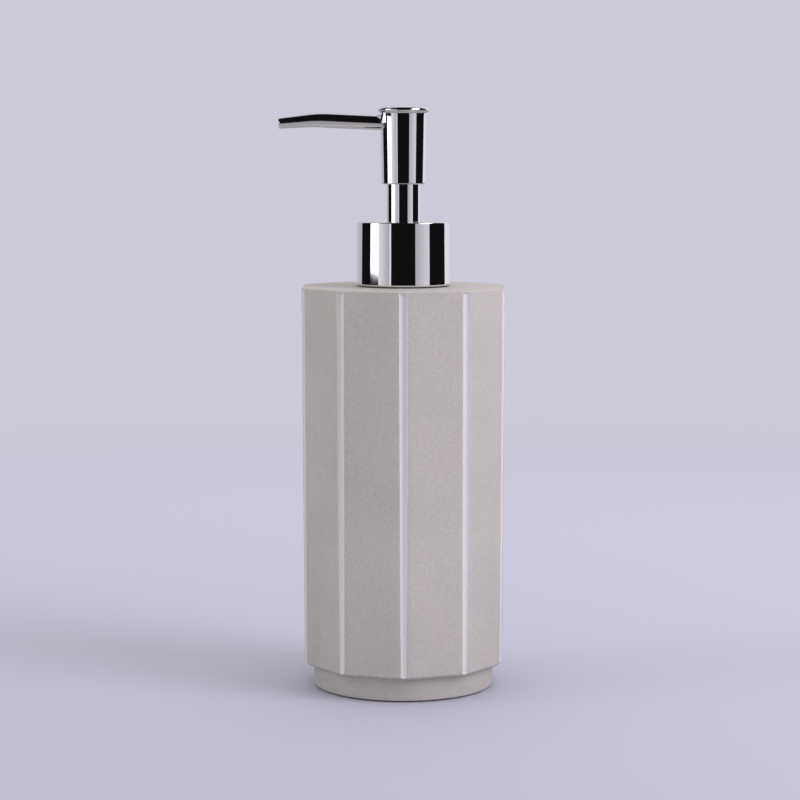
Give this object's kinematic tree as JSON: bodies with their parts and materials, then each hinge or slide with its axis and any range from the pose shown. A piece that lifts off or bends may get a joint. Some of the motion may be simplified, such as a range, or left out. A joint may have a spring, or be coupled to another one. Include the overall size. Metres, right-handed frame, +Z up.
{
  "type": "soap pump dispenser",
  "caption": "Faceted, fluted concrete soap bottle on a round foot, with a chromed press pump, screw collar and slim side spout.",
  "frame": {"origin": "centre of the base pad's underside, on the surface the dispenser stands on", "axes": "+Z up along the bottle and pump axis; the spout points to -X; a corner flute faces -Y"},
  "size_m": [0.0797, 0.0738, 0.2052],
  "materials": {
    "concrete": "matte",
    "chrome": "polished",
    "spring_steel": "satin",
    "grey_plastic": "satin",
    "natural_plastic": "satin",
    "white_plastic": "satin",
    "seal_rubber": "matte",
    "pad_rubber": "matte"
  },
  "bodies": {
    "bottle": {"bottle_body": "concrete", "base_pad": "pad_rubber", "neck_insert": "grey_plastic"},
    "pump_frame": {"pump_housing": "natural_plastic", "neck_gasket": "seal_rubber", "chaplet": "white_plastic", "stem_wiper": "seal_rubber", "guide_sleeve": "chrome", "dip_tube": "natural_plastic", "ball_cage": "white_plastic", "return_spring": "spring_steel"},
    "closure": {"closure_ring": "white_plastic", "collar_shell": "chrome"},
    "plunger": {"piston_stem": "white_plastic"},
    "piston": {"piston_seal": "seal_rubber"},
    "head": {"head_shell": "chrome", "head_core": "white_plastic", "spout_tube": "chrome", "spout_liner": "natural_plastic"},
    "inlet_valve": {"inlet_ball": "spring_steel"}
  },
  "joints": [
    {"name": "pump_lift", "type": "slide", "parent": "bottle", "child": "pump_frame", "axis": [0, 0, 1], "range_m": [0, 0.15]},
    {"name": "collar_turn", "type": "hinge", "parent": "pump_frame", "child": "closure", "pos_m": [0, 0, 0.1426], "axis": [0, 0, 1], "range_deg": [0, 540]},
    {"name": "pump_stroke", "type": "slide", "parent": "pump_frame", "child": "plunger", "axis": [0, 0, -1], "range_m": [0, 0.0125], "stiffness_N_per_m": 700, "springref_m": -0.008, "deforming": ["return_spring"]},
    {"name": "seal_slip", "type": "slide", "parent": "plunger", "child": "piston", "axis": [0, 0, 1], "range_m": [0, 0.001]},
    {"name": "head_swivel", "type": "hinge", "parent": "plunger", "child": "head", "pos_m": [0, 0, 0.1781], "axis": [0, 0, 1], "continuous": true},
    {"name": "ball_lift", "type": "slide", "parent": "pump_frame", "child": "inlet_valve", "axis": [0, 0, 1], "range_m": [0, 0.0015]}
  ]
}
